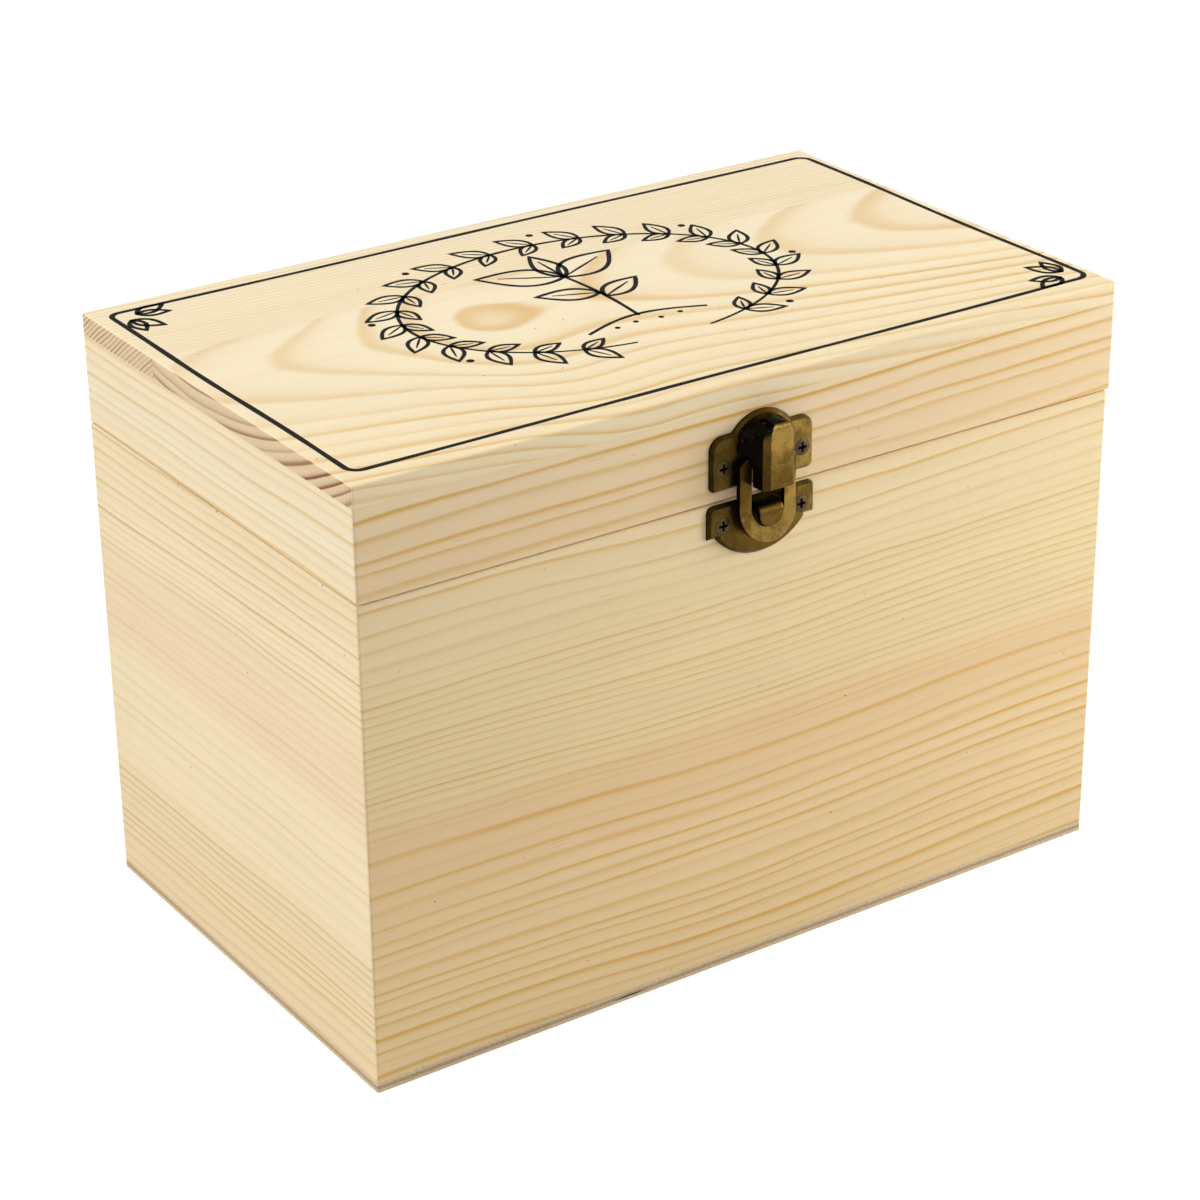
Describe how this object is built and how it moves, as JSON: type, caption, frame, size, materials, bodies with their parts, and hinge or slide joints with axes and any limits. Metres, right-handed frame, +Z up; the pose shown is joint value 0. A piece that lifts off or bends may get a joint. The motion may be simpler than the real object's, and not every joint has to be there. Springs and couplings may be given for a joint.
{
  "type": "seed organizer box",
  "caption": "Rectangular wooden storage box with a hinged lid, upright dividers for seed packets, butt hinges and a brass toggle latch.",
  "frame": {"origin": "centre of the lid's outline on the surface that the box stands on", "axes": "+X along the front from left to right, -Y out of the front face with the latch, +Z up"},
  "size_m": [0.24, 0.1555, 0.17],
  "materials": {
    "pine": "bare sanded pine",
    "plywood": "bare thin plywood",
    "antique_brass": "antique brass plate, darkened",
    "screws": "bronze-plated steel",
    "brads": "plain steel"
  },
  "bodies": {
    "box": {"front_wall": "pine", "back_wall": "pine", "left_wall": "pine", "right_wall": "pine", "bottom_panel": "plywood", "bottom_brads": "brads", "left_hinge_base_leaf": "antique_brass", "left_hinge_pin": "antique_brass", "left_hinge_base_screws": "screws", "right_hinge_base_leaf": "antique_brass", "right_hinge_pin": "antique_brass", "right_hinge_base_screws": "screws", "latch_lower_plate": "antique_brass", "latch_lower_screws": "screws"},
    "lid": {"lid_top": "pine", "lid_front_wall": "pine", "lid_back_wall": "pine", "lid_left_wall": "pine", "lid_right_wall": "pine", "left_hinge_lid_leaf": "antique_brass", "left_hinge_lid_screws": "screws", "right_hinge_lid_leaf": "antique_brass", "right_hinge_lid_screws": "screws", "latch_upper_plate": "antique_brass", "latch_lever_pin": "antique_brass", "latch_upper_screws": "screws"},
    "latch_lever": {"latch_lever": "antique_brass"},
    "latch_loop": {"latch_loop": "antique_brass"},
    "divider_1": {"divider_1": "plywood"},
    "divider_2": {"divider_2": "plywood"},
    "divider_3": {"divider_3": "plywood"},
    "divider_4": {"divider_4": "plywood"},
    "divider_5": {"divider_5": "plywood"}
  },
  "joints": [
    {"name": "lid_hinge", "type": "hinge", "parent": "box", "child": "lid", "pos_m": [0, 0.07315, 0.13855], "axis": [-1, 0, 0], "range_deg": [0, 180]},
    {"name": "latch_lever_hinge", "type": "hinge", "parent": "lid", "child": "latch_lever", "pos_m": [0, -0.0765, 0.15685], "axis": [-1, 0, 0], "range_deg": [0, 90]},
    {"name": "latch_loop_swing", "type": "hinge", "parent": "latch_lever", "child": "latch_loop", "pos_m": [0, -0.07395, 0.15525], "axis": [-1, 0, 0], "range_deg": [-75, 0]},
    {"name": "divider_1_lift", "type": "slide", "parent": "box", "child": "divider_1", "axis": [0, 0, 1], "range_m": [0, 0.035]},
    {"name": "divider_2_lift", "type": "slide", "parent": "box", "child": "divider_2", "axis": [0, 0, 1], "range_m": [0, 0.035]},
    {"name": "divider_3_lift", "type": "slide", "parent": "box", "child": "divider_3", "axis": [0, 0, 1], "range_m": [0, 0.035]},
    {"name": "divider_4_lift", "type": "slide", "parent": "box", "child": "divider_4", "axis": [0, 0, 1], "range_m": [0, 0.035]},
    {"name": "divider_5_lift", "type": "slide", "parent": "box", "child": "divider_5", "axis": [0, 0, 1], "range_m": [0, 0.035]}
  ],
  "couplings": [
    {"joint": "latch_loop_swing", "follows": "latch_lever_hinge", "ratio": -0.8}
  ]
}
